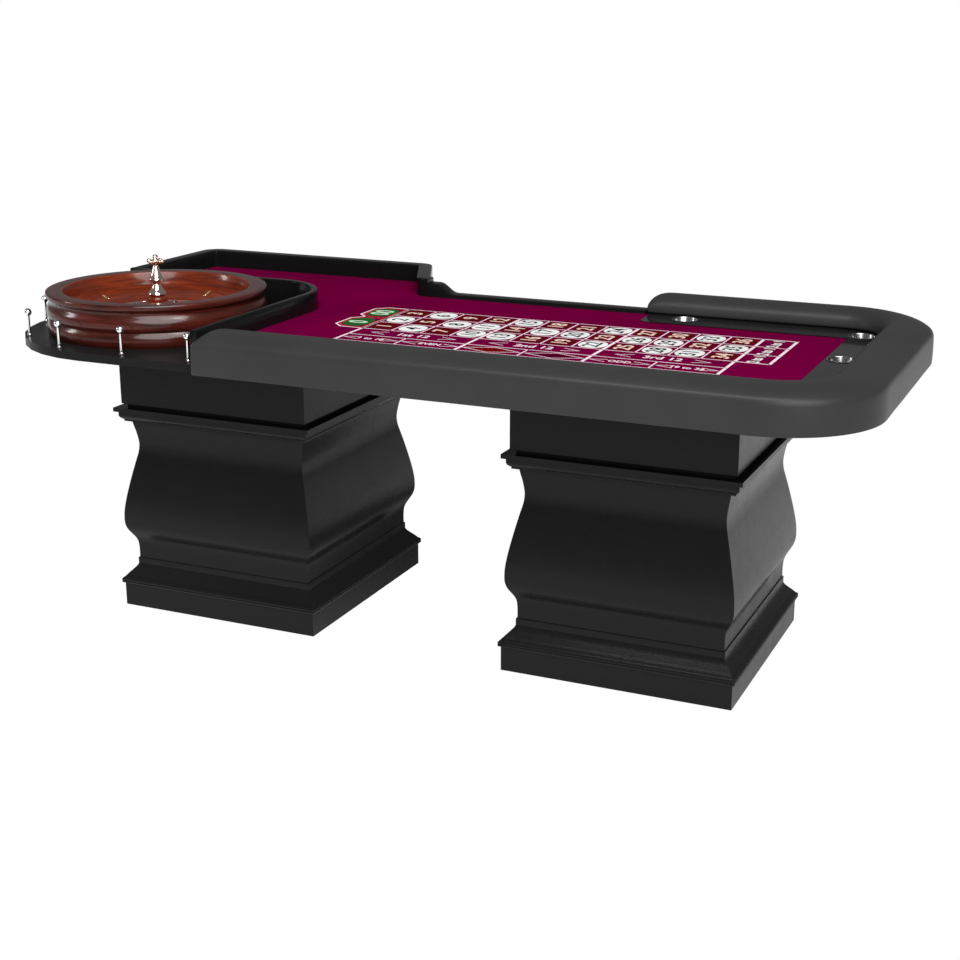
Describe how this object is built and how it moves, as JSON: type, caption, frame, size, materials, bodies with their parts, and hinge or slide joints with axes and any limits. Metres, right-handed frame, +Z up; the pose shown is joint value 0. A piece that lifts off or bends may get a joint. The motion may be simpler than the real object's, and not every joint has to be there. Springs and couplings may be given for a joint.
{
  "type": "roulette table",
  "caption": "Roulette table: black top with a padded armrest, printed betting layout, chip walls, spinning wheel in a turned bowl, on square baluster pedestals.",
  "frame": {"origin": "on the floor, under the middle of the table's bounding box", "axes": "+X along the table away from the wheel; +Y towards the dealer's side; +Z up"},
  "size_m": [2.489, 1.27, 1.041],
  "materials": {
    "pedestal_lacquer": "satin black lacquer over board",
    "slab_lacquer": "satin black lacquer",
    "particle_board": "bare pressed board",
    "layout_cloth": "burgundy wool cloth with a printed layout",
    "shelf_gloss": "mirror-gloss black laminate",
    "bare_timber": "bare timber",
    "armrest_vinyl": "smooth charcoal vinyl over foam",
    "wall_gloss": "gloss black lacquer",
    "cup_steel": "drawn stainless steel",
    "post_chrome": "chrome plate",
    "mahogany": "deep clear gloss over mahogany",
    "rotor_mahogany": "deep clear gloss over mahogany",
    "spindle_steel": "turned steel",
    "deflector_brass": "polished brass",
    "pocket_brass": "polished brass",
    "number_enamel": "gloss enamel with printed numbers",
    "turret_rose_gold": "polished rose-gold plate"
  },
  "bodies": {
    "table": {"pedestal_left_plinth": "pedestal_lacquer", "pedestal_left_base_moulding": "pedestal_lacquer", "pedestal_left_body": "pedestal_lacquer", "pedestal_left_cap_moulding": "pedestal_lacquer", "pedestal_left_cap_board": "pedestal_lacquer", "pedestal_left_neck_box": "pedestal_lacquer", "pedestal_right_plinth": "pedestal_lacquer", "pedestal_right_base_moulding": "pedestal_lacquer", "pedestal_right_body": "pedestal_lacquer", "pedestal_right_cap_moulding": "pedestal_lacquer", "pedestal_right_cap_board": "pedestal_lacquer", "pedestal_right_neck_box": "pedestal_lacquer", "base_board": "slab_lacquer", "playfield_board": "particle_board", "layout_felt": "layout_cloth", "shelf_board_1": "shelf_gloss", "shelf_board_2": "shelf_gloss", "shelf_board_3": "shelf_gloss", "shelf_board_4": "shelf_gloss", "shelf_board_5": "shelf_gloss", "shelf_board_6": "shelf_gloss", "shelf_board_7": "shelf_gloss", "armrest_core": "bare_timber", "armrest_pad": "armrest_vinyl", "tall_chip_wall": "wall_gloss", "wheel_fence": "wall_gloss", "low_chip_wall": "wall_gloss", "cup_holder_1": "cup_steel", "cup_holder_2": "cup_steel", "cup_holder_3": "cup_steel", "cup_holder_4": "cup_steel", "cup_holder_5": "cup_steel", "cup_holder_6": "cup_steel", "guard_post_1": "post_chrome", "guard_post_2": "post_chrome", "guard_post_3": "post_chrome", "guard_post_4": "post_chrome", "guard_post_5": "post_chrome", "guard_post_6": "post_chrome", "wheel_base_ring": "mahogany", "wheel_rim_ring": "mahogany", "ball_apron": "mahogany", "wheel_base_plate": "mahogany", "wheel_spindle": "spindle_steel", "deflector_1": "deflector_brass", "deflector_2": "deflector_brass", "deflector_3": "deflector_brass", "deflector_4": "deflector_brass", "deflector_5": "deflector_brass", "deflector_6": "deflector_brass", "deflector_7": "deflector_brass", "deflector_8": "deflector_brass"},
    "rotor": {"rotor_pan": "spindle_steel", "rotor_bearing": "spindle_steel", "pocket_ring": "pocket_brass", "number_ring": "number_enamel", "rotor_cone": "rotor_mahogany", "turret_base": "rotor_mahogany", "turret_body": "turret_rose_gold", "turret_cross": "turret_rose_gold"}
  },
  "joints": [
    {"name": "rotor_spin", "type": "hinge", "parent": "table", "child": "rotor", "pos_m": [-0.8675, -0.225, 0.85], "axis": [0, 0, 1], "continuous": true}
  ]
}
